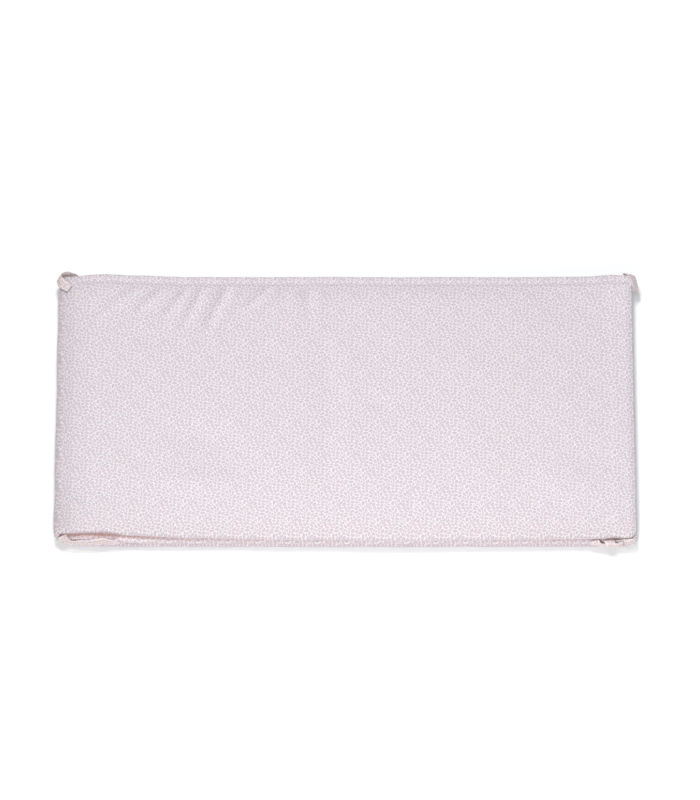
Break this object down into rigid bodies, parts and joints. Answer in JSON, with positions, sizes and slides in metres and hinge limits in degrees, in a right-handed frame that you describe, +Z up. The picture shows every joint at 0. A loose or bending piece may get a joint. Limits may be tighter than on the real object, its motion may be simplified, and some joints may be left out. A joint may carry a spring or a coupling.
{
  "type": "crib bumper",
  "caption": "Lightly padded printed cotton strip for the inside of a crib, folded back and forth to lie flat, with narrow cotton ties at its corners.",
  "frame": {"origin": "middle of the bounding box in plan, on the surface that the folded strip lies on", "axes": "+X along the strip to its right fold, +Y from the plain seam to the top-stitched edge, +Z up"},
  "size_m": [0.6068, 0.309, 0.033],
  "materials": {
    "printed_cotton": "matt woven cotton, printed all over",
    "tie_cotton": "matt woven cotton, printed all over"
  },
  "bodies": {
    "root": {"padded_strip": "printed_cotton", "tie_back_left": "tie_cotton", "tie_back_right": "tie_cotton", "tie_front_left": "tie_cotton", "tie_front_right_outer": "tie_cotton", "tie_front_right_inner": "tie_cotton"}
  },
  "joints": []
}
